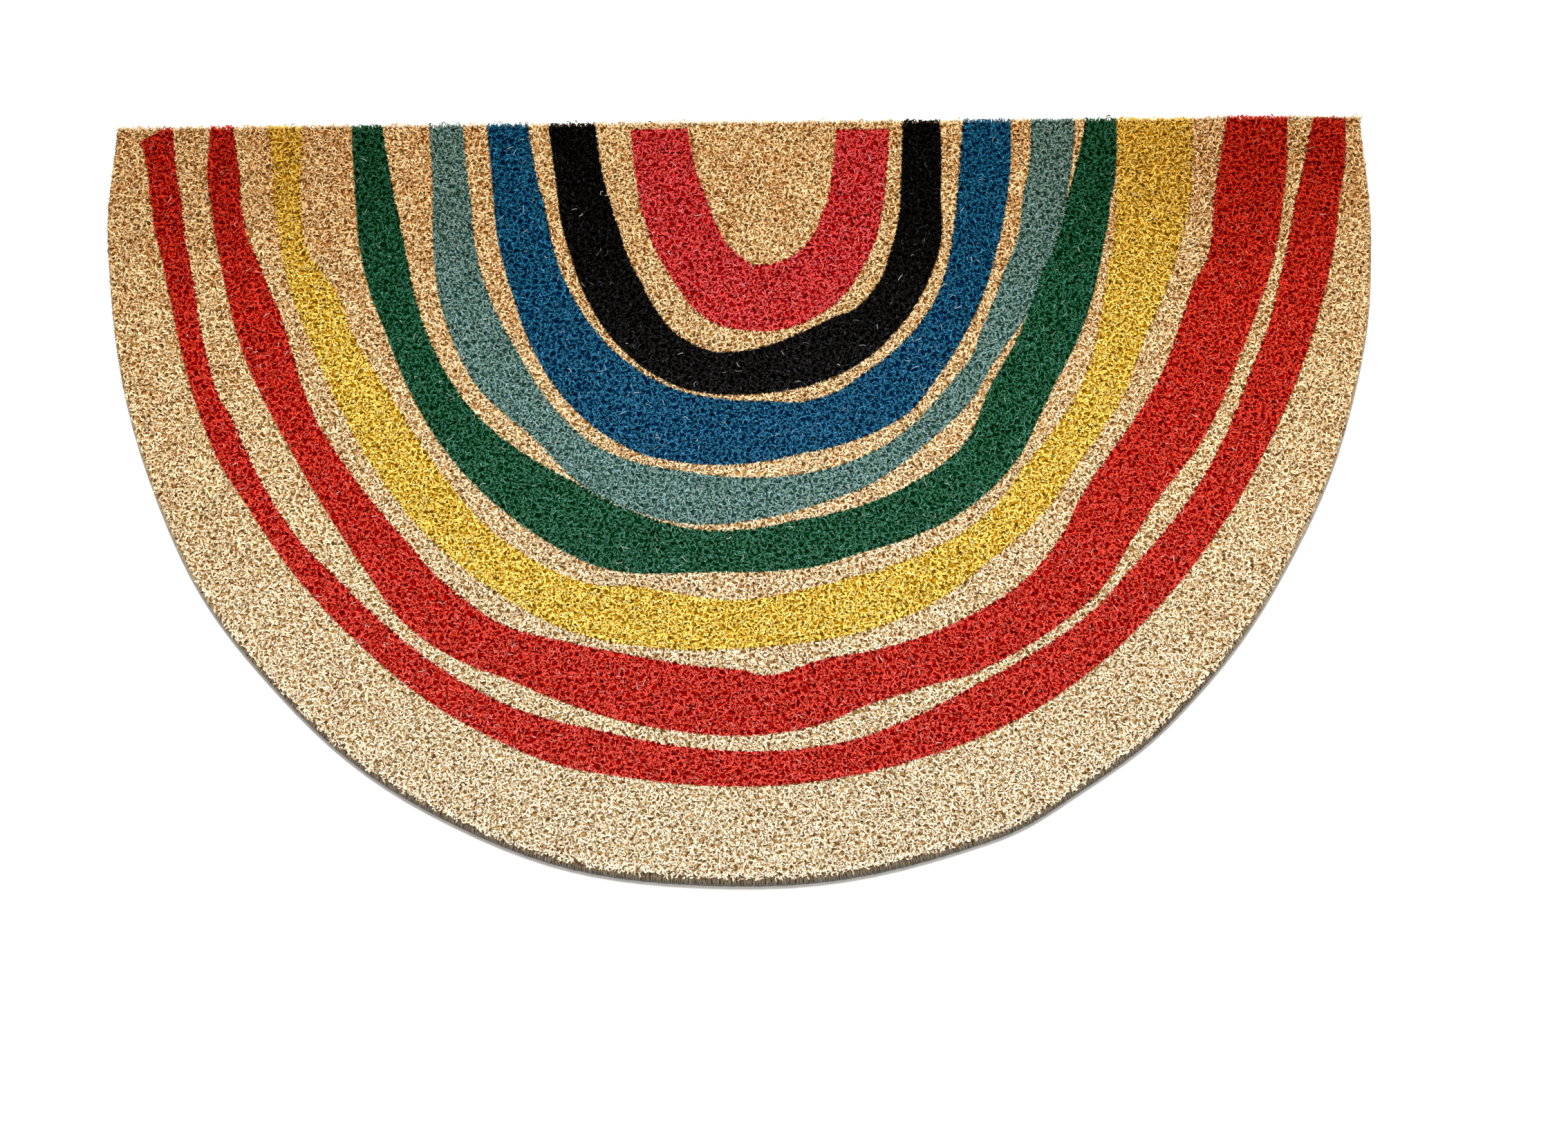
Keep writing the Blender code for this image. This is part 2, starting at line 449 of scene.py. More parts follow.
def nearest(points, targets, reach):
    """Each point's offset from its nearest target within reach, and that target's number."""
    low = points.min(axis=0) - 2 * reach
    cell = np.floor((targets - low) / reach).astype(int)
    size = cell.max(axis=0) + 3
    grid = np.full(size, -1)
    grid[cell[:, 0], cell[:, 1]] = np.arange(len(targets))
    home = np.floor((points - low) / reach).astype(int)
    best = np.full(points.shape, 1.0)
    which = np.full(len(points), -1)
    for dx in (-1, 0, 1):
        for dy in (-1, 0, 1):
            near = np.clip(home + (dx, dy), 0, size - 1)
            index = grid[near[:, 0], near[:, 1]]
            offset = np.where(index[:, None] >= 0, points - targets[index], 1.0)
            closer = np.linalg.norm(offset, axis=1) < np.linalg.norm(best, axis=1)
            best[closer] = offset[closer]
            which[closer] = index[closer]
    return best, which


def drift(xy, scale, seed):
    """A smooth value between about -1 and 1 that changes over the given distance."""
    rng = np.random.default_rng(seed)
    value = np.zeros(len(xy))
    for _ in range(DRIFT_WAVES):
        direction = rng.uniform(0, math.tau)
        wave = rng.uniform(0.7, 1.6) / scale
        along = xy @ (math.cos(direction) * wave, math.sin(direction) * wave)
        value += np.sin(along * math.tau + rng.uniform(0, math.tau))
    return value / (DRIFT_WAVES / 2)


def new_object(name, data):
    obj = bpy.data.objects.new(name, data)
    bpy.context.scene.collection.objects.link(obj)
    return obj


def mesh_object(name, verts, faces, corners=None, attributes=()):
    """A smooth-shaded mesh object. corners gives each face corner's place in the map, and attributes
    are pairs of a name and one value for each point."""
    mesh = bpy.data.meshes.new(name)
    mesh.from_pydata(verts, [], faces)
    mesh.shade_smooth()
    for attribute, values in attributes:
        layer = mesh.attributes.new(attribute, "FLOAT", "POINT")
        layer.data.foreach_set("value", np.asarray(values, np.float32))
    if corners is not None:
        mesh.uv_layers.new(name="OFBake").uv.foreach_set("vector", np.asarray(corners, np.float32).ravel())
    mesh.validate()
    return new_object(name, mesh)


class Strands(NamedTuple):
    """Many strands: their centre lines from foot to tip, their radii at all joints but the tip, how light
    they are at each joint as painted shade (0 at the shaded bottom of the pile, 1 at a fully lit tip),
    their turns about their own lines, and a random number each."""

    lines: np.ndarray
    widths: np.ndarray
    lights: np.ndarray
    turns: np.ndarray
    tones: np.ndarray

    def pick(self, chosen):
        return Strands(*(values[chosen] for values in self))


def new_strands(rng, lines, widths, lights, twist=math.pi):
    """Strands with a turn and a tone by chance. lights is one row for all or a row for each, and
    twist is how far a strand may be turned either way from lying face up."""
    count = len(lines)
    lights = np.broadcast_to(lights, lines.shape[:2])
    turns = math.pi + rng.uniform(-twist, twist, count)
    return Strands(lines, widths, lights, turns, rng.uniform(0.0, 1.0, count))


def strand_faces(rings, ring_points):
    """Faces of one strand with a pointed tip, as rows of point numbers, and each face corner's place
    in the strand's map cell. A ribbon has one side, and a tube has one for each point."""
    faces = []
    places = []
    sides = 1 if ring_points == RIBBON_POINTS else ring_points
    for ring in range(rings):
        low, high = ring / rings, (ring + 1) / rings
        for side in range(sides):
            a = ring * ring_points + side
            b = ring * ring_points + (side + 1) % ring_points
            left, right = side / sides, (side + 1) / sides
            if ring == rings - 1:
                faces.append((a, b, rings * ring_points))
                places.append(((left, low), (right, low), ((left + right) / 2, high)))
            else:
                faces += [(a, b, b + ring_points), (a, b + ring_points, a + ring_points)]
                places += [((left, low), (right, low), (right, high)),
                           ((left, low), (right, high), (left, high))]
    return np.array(faces), np.array(places)


def strand_points(strands, ring_points):
    """The mesh points of each strand, ring by ring, with the tip last."""
    rings = strands.lines.shape[1] - 1
    tangent = np.diff(strands.lines, axis=1)
    tangent = np.concatenate((tangent[:, :1], (tangent[:, :-1] + tangent[:, 1:]) / 2), axis=1)
    tangent /= np.linalg.norm(tangent, axis=2, keepdims=True)
    side = np.cross(tangent, (0.0, 0.0, 1.0)) + (1e-9, 0.0, 0.0)
    side /= np.linalg.norm(side, axis=2, keepdims=True)
    over = np.cross(side, tangent)
    turn = strands.turns[:, None] + np.arange(ring_points) * math.tau / ring_points
    around = (
        np.cos(turn)[:, None, :, None] * side[:, :, None, :]
        + np.sin(turn)[:, None, :, None] * over[:, :, None, :]
    )
    points = strands.lines[:, :rings, None, :] + strands.widths[:, :, None, None] * around
    return np.concatenate((points.reshape(len(strands.lines), -1, 3), strands.lines[:, -1:]), axis=1)


def strand_mesh(name, strands, ring_points):
    """One mesh of all the strands; each has its own cell in the map."""
    count, joints, _ = strands.lines.shape
    points = strand_points(strands, ring_points)
    face_rows, places = strand_faces(joints - 1, ring_points)
    number = np.arange(count)
    faces = face_rows[None] + (number * points.shape[1])[:, None, None]
    cells = math.ceil(math.sqrt(count))
    home = np.stack((number % cells, number // cells), axis=1)
    inner = CELL_MARGIN + (1 - 2 * CELL_MARGIN) * places
    corners = (home[:, None, None, :] + inner[None]) / cells
    ring_lights = np.repeat(strands.lights[:, :-1], ring_points, axis=1)
    lights = np.concatenate((ring_lights, strands.lights[:, -1:]), axis=1)
    tones = np.repeat(strands.tones, points.shape[1])
    return mesh_object(
        name, points.reshape(-1, 3), faces.reshape(-1, 3), corners,
        (("strand_light", lights.ravel()), ("strand_tone", tones)),
    )


def heading(angle):
    return np.stack((np.cos(angle), np.sin(angle)), axis=-1)


def feed(tree, socket, value):
    """Wires an output into a socket, or sets the socket to a plain value."""
    if isinstance(value, bpy.types.NodeSocket):
        tree.links.new(value, socket)
    elif socket.type == "RGBA" and len(value) == 3:
        socket.default_value = (*value, 1.0)
    else:
        socket.default_value = value


def add_node(tree, kind, inputs=(), **settings):
    """A shader node. inputs give values or outputs by a socket's name or number."""
    node = tree.nodes.new("ShaderNode" + kind)
    for name, value in settings.items():
        setattr(node, name, value)
    for key, value in dict(inputs).items():
        feed(tree, node.inputs[key], value)
    return node


def calc(tree, operation, *values, clamp=False):
    return add_node(tree, "Math", enumerate(values), operation=operation, use_clamp=clamp).outputs[0]


def plus(tree, *values):
    return calc(tree, "ADD", *values)


def minus(tree, *values):
    return calc(tree, "SUBTRACT", *values)


def times(tree, *values):
    return calc(tree, "MULTIPLY", *values)


def times_plus(tree, *values, clamp=False):
    return calc(tree, "MULTIPLY_ADD", *values, clamp=clamp)


def vector_calc(tree, operation, *values):
    return add_node(tree, "VectorMath", enumerate(values), operation=operation).outputs[0]


def axis_of(tree, position, axis):
    return add_node(tree, "SeparateXYZ", {"Vector": position}).outputs[axis]


def remap(tree, value, low, high, to_low=0.0, to_high=1.0):
    inputs = {"Value": value, "From Min": low, "From Max": high, "To Min": to_low, "To Max": to_high}
    return add_node(tree, "MapRange", inputs, interpolation_type="SMOOTHSTEP").outputs["Result"]


def mix(tree, share, low, high, blend="MIX"):
    inputs = {"Factor": share, 6: low, 7: high}
    return add_node(tree, "Mix", inputs, data_type="RGBA", blend_type=blend, clamp_factor=True).outputs[2]


def tinted(tree, colour, tint):
    return mix(tree, 1.0, colour, tint, "MULTIPLY")


def shaded(tree, colour, shade):
    """The colour multiplied by a plain value."""
    return tinted(tree, colour, add_node(tree, "CombineColor", enumerate([shade] * 3)).outputs[0])


def gamma(tree, colour, power):
    return add_node(tree, "Gamma", {"Color": colour, "Gamma": power}).outputs["Color"]


def chance_of(tree, tone, kind="Value"):
    """One more random value or colour for each strand, drawn from its random number."""
    return add_node(tree, "TexWhiteNoise", {"W": tone}, noise_dimensions="1D").outputs[kind]


def noise(tree, position, per_metre, detail=2.0):
    """Noise with about the given number of lumps in a metre."""
    inputs = {"Vector": position, "Scale": per_metre, "Detail": detail}
    return add_node(tree, "TexNoise", inputs).outputs["Fac"]


def towards_front(tree, position):
    """0 at the back edge, rising to 1 at the front."""
    return remap(tree, axis_of(tree, position, "Y"), MAT_HIGH.y, MAT_LOW.y)


def husk_share(tree, tone):
    """Which strands are husk: a few in a hundred, picked by their random number."""
    return remap(tree, tone, *HUSK_TONES)


def build_group(name):
    """Builds a shader node group from its row in GROUPS: the function that wires it, and the kinds of
    its sockets by their names."""
    wire, inputs, outputs = GROUPS[name]
    group = bpy.data.node_groups.new(name, "ShaderNodeTree")
    for direction, kinds in (("INPUT", inputs), ("OUTPUT", outputs)):
        for key, kind in kinds.items():
            group.interface.new_socket(key, in_out=direction, socket_type="NodeSocket" + kind)
    given = group.nodes.new("NodeGroupInput").outputs
    result = group.nodes.new("NodeGroupOutput").inputs
    for key, value in zip(outputs, wire(group, *(given[key] for key in inputs))):
        feed(group, result[key], value)
    return group


def place_group(tree, name, **inputs):
    """One of the mat's own node groups, built when it is first placed, with its own values."""
    group = bpy.data.node_groups.get(name) or build_group(name)
    return add_node(tree, "Group", inputs, node_tree=group).outputs


def edge_curve(tree, way, edge):
    """The radius of a hand-cut edge, as a share of the arches' reach."""
    node = add_node(tree, "FloatCurve", {"Value": way})
    points = node.mapping.curves[0].points
    places = [
        ((degrees - LEFT_END) / ALL_DEGREES, radius * MM / ARCH_REACH) for degrees, radius in edge.items()
    ]
    points[0].location = places[0]
    points[1].location = places[-1]
    for place in places[1:-1]:
        points.new(*place)
    for point in points:
        point.handle_type = "AUTO_CLAMPED"
    node.mapping.update()
    return node.outputs["Value"]


def arch_end(tree, arch, share, across):
    """How far up its leg the arch runs, which may slant from its inner to its outer edge."""
    slant = times_plus(tree, share, -arch.left_slant * MM, LEG_LENGTH - arch.left_short * MM)
    at_left = calc(tree, "LESS_THAN", across, 0.0)
    ends = {"Factor": at_left, 2: LEG_LENGTH - arch.right_short * MM, 3: slant}
    return add_node(tree, "Mix", ends, data_type="FLOAT").outputs[0]


def arch_print(tree, position, faded, dye_front_light, *dyes):
    """The printed arches: the dye's colour, with painted light that pales it towards the front, and where
    there is dye.
    """
    across = minus(tree, axis_of(tree, position, "X"), ARCH_CENTRE.x)
    ahead = minus(tree, axis_of(tree, position, "Y"), ARCH_CENTRE.y)
    down = calc(tree, "MAXIMUM", times(tree, ahead, -1.0), 0.0)
    turn = calc(tree, "ARCTAN2", down, across)
    round_front = times_plus(tree, turn, -math.degrees(1) / ALL_DEGREES, (180 - LEFT_END) / ALL_DEGREES)
    up_leg = times(tree, calc(tree, "MAXIMUM", ahead, 0.0), LEG_DEGREES / LEG_LENGTH / ALL_DEGREES)
    way = times_plus(tree, calc(tree, "SIGN", across), up_leg, round_front)
    squares = plus(tree, times(tree, across, across), times(tree, down, down))
    distance = times(tree, calc(tree, "SQRT", squares), 1 / ARCH_REACH)
    colour = (0.0, 0.0, 0.0)
    dyed = 0.0
    for arch in ARCHES:
        from_inner = minus(tree, distance, edge_curve(tree, way, arch.inner))
        to_outer = minus(tree, edge_curve(tree, way, arch.outer), distance)
        share = calc(tree, "DIVIDE", from_inner, plus(tree, from_inner, to_outer))
        to_end = times(tree, minus(tree, arch_end(tree, arch, share, across), ahead), 1 / ARCH_REACH)
        room = calc(tree, "MINIMUM", calc(tree, "MINIMUM", from_inner, to_outer), to_end)
        mask = times_plus(tree, room, ARCH_REACH / PRINT_SOFTNESS, 0.5, clamp=True)
        colour = mix(tree, mask, colour, dyes[DYES.index(arch.dye)])
        dyed = calc(tree, "MAXIMUM", dyed, mask)
    # Painted light: the dye turns paler towards the front
    front_lit_share = times(tree, towards_front(tree, position), dye_front_light)
    return mix(tree, front_lit_share, colour, faded), dyed


def raw_coir(tree, position, tone, light, pale, tan, husk, bleached, front_light_share):
    """Natural fibre: pale and tan strands, more tan lower in the pile, a few bits of husk, and painted
    light that turns its upper parts paler and cooler towards the front.
    """
    patches = times_plus(tree, noise(tree, position, 1 / PATCH_SIZE), 1.2, -0.6)
    locks = times_plus(tree, noise(tree, position, 1 / LOCK_SIZE), 1.8, -0.9)
    share = plus(tree, times(tree, tone, 0.6), plus(tree, patches, locks))
    share = plus(tree, share, times_plus(tree, light, -0.6, 0.7))
    colour = mix(tree, remap(tree, share, 0.0, 1.1), pale, tan)
    at_tip = times(tree, remap(tree, light, 0.0, 0.6, 0.4), front_light_share)
    # Painted light: paler and cooler towards the front, most on the upper parts
    colour = mix(tree, times(tree, towards_front(tree, position), at_tip), colour, bleached)
    return [mix(tree, husk_share(tree, tone), colour, husk)]


def strand_shade(tree, colour, position, tone, light, spread, falloff_tint, corners):
    """A strand's own shade: light or dark by chance, a painted falloff of light that darkens and browns it
    towards the back and most at its corners, and painted shade that makes it darker and richer down in the
    pile."""
    chance = chance_of(tree, tone)
    shade = times_plus(tree, minus(tree, chance, MEAN_CHANCE), spread, 1.0)
    shade = calc(tree, "MINIMUM", shade, LIGHTEST)
    # Painted falloff of light: darker and browner towards the back, most at the back corners
    to_back = minus(tree, 1.0, towards_front(tree, position))
    to_side = remap(tree, calc(tree, "ABSOLUTE", axis_of(tree, position, "X")), *CORNER_X)
    corner = times(tree, remap(tree, axis_of(tree, position, "Y"), *CORNER_Y), to_side)
    falloff_share = plus(tree, calc(tree, "POWER", to_back, 3.0), times(tree, corner, corners))
    painted_falloff = mix(tree, times(tree, falloff_share, 0.5), (1.0, 1.0, 1.0), falloff_tint)
    # Painted shade: darker and richer lower in the pile
    strongest = add_node(tree, "SeparateColor", {"Color": colour}, mode="HSV").outputs[2]
    lift = calc(tree, "POWER", strongest, DEPTH - RICHNESS)
    rich = shaded(tree, gamma(tree, colour, RICHNESS), lift)
    side = shaded(tree, rich, times(tree, shade, SIDE_SHADE))
    low = mix(tree, remap(tree, light, *PIT_LIGHTS), shaded(tree, rich, PIT_SHADE), side)
    whole = mix(tree, remap(tree, light, *TIP_LIGHTS), low, shaded(tree, colour, shade))
    return tinted(tree, whole, painted_falloff), times_plus(tree, chance, 0.2, 0.75)


def fine_grain(tree, position, scale):
    """Fine pitting and fibre lines: a height for bump."""
    return [noise(tree, position, scale, 3.0)]


STRAND = dict(Position="Vector", Tone="Float", Light="Float")
GROUPS = {
    "Arch Print": (
        arch_print,
        dict(Position="Vector", Faded="Color", Fade="Float", **{dye.title(): "Color" for dye in DYES}),
        dict(Color="Color", Dyed="Float"),
    ),
    "Raw Coir": (
        raw_coir,
        dict(STRAND, Pale="Color", Tan="Color", Husk="Color", Bleached="Color", Bleach="Float"),
        dict(Color="Color"),
    ),
    "Strand Shade": (
        strand_shade,
        dict(Color="Color", **STRAND, Spread="Float", Browned="Color", Corners="Float"),
        dict(Color="Color", Roughness="Float"),
    ),
    "Fine Grain": (fine_grain, dict(Position="Vector", Scale="Float"), dict(Height="Float")),
}


def new_material(name):
    material = bpy.data.materials.new(name)
    material.use_nodes = True
    tree = material.node_tree
    position = add_node(tree, "TexCoord").outputs["Object"]
    return material, tree, tree.nodes["Principled BSDF"], position


def add_grain(tree, shader, position, size, depth):
    """Fine grain of the given size and depth, as bump."""
    grain = place_group(tree, "Fine Grain", Position=position, Scale=1 / size)
    bump = add_node(tree, "Bump", {"Height": grain["Height"], "Distance": depth, "Strength": 1.0})
    feed(tree, shader.inputs["Normal"], bump.outputs["Normal"])


def strand_inputs(tree, position):
    """A group's inputs for a strand: its place, its random number and how light it is there."""
    tone, light = (
        add_node(tree, "Attribute", attribute_name=name).outputs["Fac"]
        for name in ("strand_tone", "strand_light")
    )
    return dict(Position=position, Tone=tone, Light=light)


def colour_inputs(*names):
    """A group's colour inputs, from the colours that a user can set."""
    colours = bpy.context.scene.coir_mat_colours
    return {name.title(): getattr(colours, name) for name in names}


def place_raw_coir(tree, strand, front_light_share):
    colours = colour_inputs("pale", "tan", "husk", "bleached")
    return place_group(tree, "Raw Coir", Bleach=front_light_share, **strand, **colours)["Color"]


def place_arches(tree, position):
    colours = colour_inputs("faded", *DYES)
    return place_group(tree, "Arch Print", Position=position, Fade=DYE_FRONT_LIGHT, **colours)


def finish_coir(tree, shader, strand, grain_size, grain_depth, **shade):
    """Gives coir each strand's own shade, a dry surface and fine grain."""
    own = place_group(tree, "Strand Shade", **strand, **shade)
    feed(tree, shader.inputs["Base Color"], own["Color"])
    feed(tree, shader.inputs["Roughness"], own["Roughness"])
    shader.inputs["Specular IOR Level"].default_value = DRY_SPECULAR
    add_grain(tree, shader, strand["Position"], grain_size, grain_depth)


def printed_coir(name, spread, rubbed, mottled=False):
    """Coir with the arches printed on it. Each strand shifts the print a little, and the dye is thin on
    some, partly from wear and partly as painted sheen; rubbed is how much of it is gone. Mottled coir has
    its painted shade lighter and darker in small spots."""
    colours = bpy.context.scene.coir_mat_colours
    material, tree, shader, position = new_material(name)
    strand = strand_inputs(tree, position)
    tone = strand["Tone"]
    if mottled:
        # Painted shade, lighter and darker in small spots
        spots = remap(tree, noise(tree, position, 1 / MOTTLE_SIZE), 0.3, 0.7, 0.0, 2.0)
        strand["Light"] = times(tree, strand["Light"], spots)
    centred = vector_calc(tree, "SUBTRACT", chance_of(tree, tone, "Color"), (0.5, 0.5, 0.5))
    shift = vector_calc(tree, "MULTIPLY", centred, [bpy.context.scene.coir_mat_sizes.fray] * 3)
    arches = place_arches(tree, vector_calc(tree, "ADD", position, shift))
    # Thin dye: partly worn dye, partly painted sheen
    thin = tinted(tree, gamma(tree, arches["Color"], WORN_AND_SHEEN_GAMMA), WORN_AND_SHEEN_TINT)
    dye = mix(tree, remap(tree, tone, *WORN_AND_SHEEN_TONES), arches["Color"], thin)
    dye = mix(tree, times(tree, tone, rubbed), dye, colours.faded)
    dye = mix(tree, husk_share(tree, tone), dye, tinted(tree, dye, colours.husk))
    colour = mix(tree, arches["Dyed"], place_raw_coir(tree, strand, TOP_FRONT_LIGHT), dye)
    # Painted falloff at the back corners, stronger on dye than on bare coir
    corners = times_plus(tree, arches["Dyed"], 0.4, 0.45)
    shade = dict(Color=colour, Spread=spread, Browned=PAINTED_FALLOFF_TINT, Corners=corners)
    finish_coir(tree, shader, strand, 0.5 * MM, 0.15 * MM, **shade)
    return material


def facing_front(tree, position):
    """1 on the rim's front, falling to 0 at the sides and the back."""
    offset = vector_calc(tree, "SUBTRACT", position, (*LEAN_POINT, 0.0))
    way = vector_calc(tree, "NORMALIZE", vector_calc(tree, "MULTIPLY", offset, (1.0, 1.0, 0.0)))
    return remap(tree, axis_of(tree, way, "Y"), -0.3, -0.8)


def edge_coir():
    """The cut side of the pile: duller, dusty fibre with painted shade that is darkest at the front, grey
    with backing near its foot. The dye has soaked a little way down it."""
    colours = bpy.context.scene.coir_mat_colours
    material, tree, shader, position = new_material("cut_edge_coir")
    strand = strand_inputs(tree, position)
    # dusty is dust and painted shade, most on the front
    dusty = remap(tree, facing_front(tree, position), 0.0, 1.0, *SIDE_DUST_AND_SHADE)
    raw = mix(tree, dusty, place_raw_coir(tree, strand, SIDE_FRONT_LIGHT), colours.cut_edge)
    z = axis_of(tree, position, "Z")
    climb = times_plus(tree, noise(tree, position, 1 / BLOTCH_SIZE), 5 * MM, PILE_FOOT)
    grey = remap(tree, minus(tree, z, climb), 2.5 * MM, -1.0 * MM)
    colour = mix(tree, grey, raw, colours.backing)
    arches = place_arches(tree, position)
    soaked = times_plus(tree, strand["Tone"], DYE_DEPTH, PILE_TOP - 2 * DYE_DEPTH)
    dyed = times(tree, arches["Dyed"], calc(tree, "GREATER_THAN", z, soaked))
    colour = mix(tree, dyed, colour, arches["Color"])
    shade = dict(Color=colour, Spread=0.6, Browned=(1.0, 1.0, 1.0), Corners=0.0)
    finish_coir(tree, shader, strand, 0.6 * MM, 0.2 * MM, **shade)
    return material


def backing_pvc():
    """Grey backing sheet: matt, finely pitted, a little dusty."""
    grey = bpy.context.scene.coir_mat_colours.backing
    material, tree, shader, position = new_material("backing_pvc")
    blotches = remap(tree, noise(tree, position, 1 / BLOTCH_SIZE, 6.0), 0.3, 0.7)
    darker = [0.82 * channel for channel in grey]
    feed(tree, shader.inputs["Base Color"], mix(tree, blotches, darker, grey))
    feed(tree, shader.inputs["Roughness"], remap(tree, blotches, 0.0, 1.0, 0.55, 0.75))
    add_grain(tree, shader, position, 0.9 * MM, 0.25 * MM)
    return material


def floor_paint():
    pale = bpy.context.scene.coir_mat_colours.floor
    material, tree, shader, position = new_material("floor_paint")
    duller = [0.985 * channel for channel in pale]
    feed(tree, shader.inputs["Base Color"], mix(tree, noise(tree, position, 1 / 0.3), duller, pale))
    shader.inputs["Roughness"].default_value = 0.9
    return material


def dress(piece, material):
    piece.data.materials.clear()
    piece.data.materials.append(material)


def settle(piece, material):
    """Gives a piece its finish and lets it ride on the mat."""
    dress(piece, material)
    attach(piece, "root")
    return piece


def pointing_back(directions):
    """1 for directions that point straight to the mat's back, falling to 0 for those across it."""
    return np.maximum(directions[:, 1], 0.0) ** 2


def bed_ring(foot, top, share, inset, height):
    """One ring of the bed, part of the way up the pile's side."""
    ways = np.linspace(0.0, 1.0, BED_AROUND, endpoint=False)
    low, outward = foot.at(ways)
    high, _ = top.at(ways)
    inset = inset + share * bpy.context.scene.coir_mat_sizes.edge_inset * pointing_back(-outward)
    xy = low + (high - low) * share - outward * inset[:, None]
    return np.column_stack((xy, np.full(BED_AROUND, height)))


def bed_mesh(name):
    """The closed bed of packed roots under the tufts, a little lumpy on top, and dark with painted shade.
    """
    foot = Outline(PILE_FOOT)
    top = Outline(PILE_TOP)
    rings = [bed_ring(foot, top, share, BED_INSET, height) for share, height in BED_SIDE]
    rim = bed_ring(foot, top, 1.0, BED_INSET + BED_ROUNDING, BED_TOP)
    middle = np.array((0.0, 0.5 * MAT_HIGH.y, BED_TOP))
    for k in range(BED_RINGS):
        ring = middle + (rim - middle) * (1 - k / BED_RINGS)
        ring[:, 2] += LUMP_HEIGHT * drift(ring[:, :2], *LUMP_DRIFT)
        rings.append(ring)
    verts = np.vstack(rings + [middle[None], (middle * (1, 1, 0) + (0, 0, PILE_FOOT))[None]])
    crown = len(rings) * BED_AROUND
    last = crown - BED_AROUND
    pairs = [(k, (k + 1) % BED_AROUND) for k in range(BED_AROUND)]
    faces = []
    for low in range(0, last, BED_AROUND):
        high = low + BED_AROUND
        faces += [(low + a, low + b, high + b, high + a) for a, b in pairs]
    for a, b in pairs:
        faces += [(last + a, last + b, crown), (b, a, crown + 1)]
    return mesh_object(name, verts, faces, attributes=[("strand_light", np.full(len(verts), BED_LIGHT))])


class COIRMAT_OT_backing(bpy.types.Operator):
    """Finish the backing sheet in pitted grey PVC"""

    bl_idname = "coir_mat.backing"
    bl_label = "Backing Sheet"

    def execute(self, context):
        dress(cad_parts["backing"], backing_pvc())
        return {"FINISHED"}


class COIRMAT_OT_bed(bpy.types.Operator):
    """Lay the bed of packed roots that the tufts stand in"""

    bl_idname = "coir_mat.bed"
    bl_label = "Pile Bed"

    def execute(self, context):
        material = printed_coir("rooted_coir", spread=0.3, rubbed=0.0, mottled=True)
        bed = settle(bed_mesh("pile_bed"), material)
        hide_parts("coir_pile")
        return {"FINISHED"}


def clear_pits(lines, radius, sizes):
    """Moves strands sideways until none crosses one of the small dark pits between the tufts."""
    rng = np.random.default_rng(PIT_SEED)
    centres = jittered_points(rng, sizes.pit_spacing, PIT_JITTER)
    radii = sizes.pit_radius * rng.uniform(*PIT_RADII, len(centres))
    places = np.concatenate((lines, (lines[:, 1:] + lines[:, :-1]) / 2), axis=1)[:, :, :2]
    count, along, _ = places.shape
    offset, which = nearest(places.reshape(-1, 2), centres, sizes.pit_spacing)
    gap = np.maximum(np.linalg.norm(offset, axis=1), TINY)
    depth = (radii[which] - gap).reshape(count, along)
    worst = np.argmax(depth, axis=1)
    push = np.maximum(depth[np.arange(count), worst] + radius, 0.0)
    way_out = (offset / gap[:, None])[np.arange(count) * along + worst]
    lines[:, :, :2] += (push[:, None] * way_out)[:, None, :]


def keep_in(rng, lines, top, sizes):
    """Draws strands in so that their tips stay inside the cut at the front, and only just pass it at
    the back."""
    room, inward = top.measure(lines[:, -1, :2])
    count = len(lines)
    inset = SIDE_INSET + (sizes.edge_inset - SIDE_INSET) * pointing_back(inward)
    overhang = BACK_OVERHANG * rng.uniform(0.3, 1.0, count)
    inset = np.where(inward[:, 1] == -1.0, -overhang, inset * rng.uniform(0.6, 1.1, count))
    short = np.maximum(inset - room, 0.0)
    lines[:, :, :2] += (short[:, None] * inward)[:, None, :]


def tuft_strands(rng, sizes, top):
    """The loose ends of the tufts: each climbs from the bed, then curls over and lies nearly flat."""
    xy = jittered_points(rng, sizes.tuft_spacing, TUFT_JITTER)
    room, inward = top.measure(xy)
    inside = room > np.where(inward[:, 1] == -1.0, BACK_ROOM, SIDE_ROOM)
    xy, room, inward = xy[inside], room[inside], inward[inside]
    count = len(xy)
    shoulder = np.clip(1 - room / sizes.shoulder, 0.0, 1.0) ** 2 * pointing_back(inward)
    lean = math.pi * drift(xy, *LEAN_DRIFT) + rng.normal(0.0, LEAN_SPREAD, count)
    curl = rng.uniform(-TUFT_CURL, TUFT_CURL, count)
    reach = sizes.tuft_reach * rng.uniform(*TUFT_REACHES, count)
    level = rng.uniform(0.0, 1.0, count) ** LEVEL_POWER
    height = sizes.tuft_height * (LOWEST_TUFT + (1 - LOWEST_TUFT) * level)
    height += SWELL_HEIGHT * drift(xy, *SWELL_DRIFT)
    height -= SHOULDER_DROP * shoulder
    point = np.column_stack((xy - 0.5 * reach[:, None] * heading(lean), np.full(count, TUFT_FOOT)))
    joints = [point]
    for k, (ahead, climb) in enumerate(TUFT_STEPS):
        step = (ahead * reach)[:, None] * heading(lean + (k - 1) * curl)
        point = point + np.column_stack((step, climb * height))
        joints.append(point)
    lines = np.stack(joints, axis=1)
    radius = 0.5 * sizes.tuft_width * rng.uniform(*TUFT_WIDTHS, count)
    clear_pits(lines, 0.8 * radius, sizes)
    keep_in(rng, lines, top, sizes)
    # Painted shade: lower tufts are darker
    lights = (0.5 + 0.5 * level)[:, None] * TUFT_LIGHTS
    return new_strands(rng, lines, radius[:, None] * TUFT_TAPER, lights, twist=TUFT_TWIST)


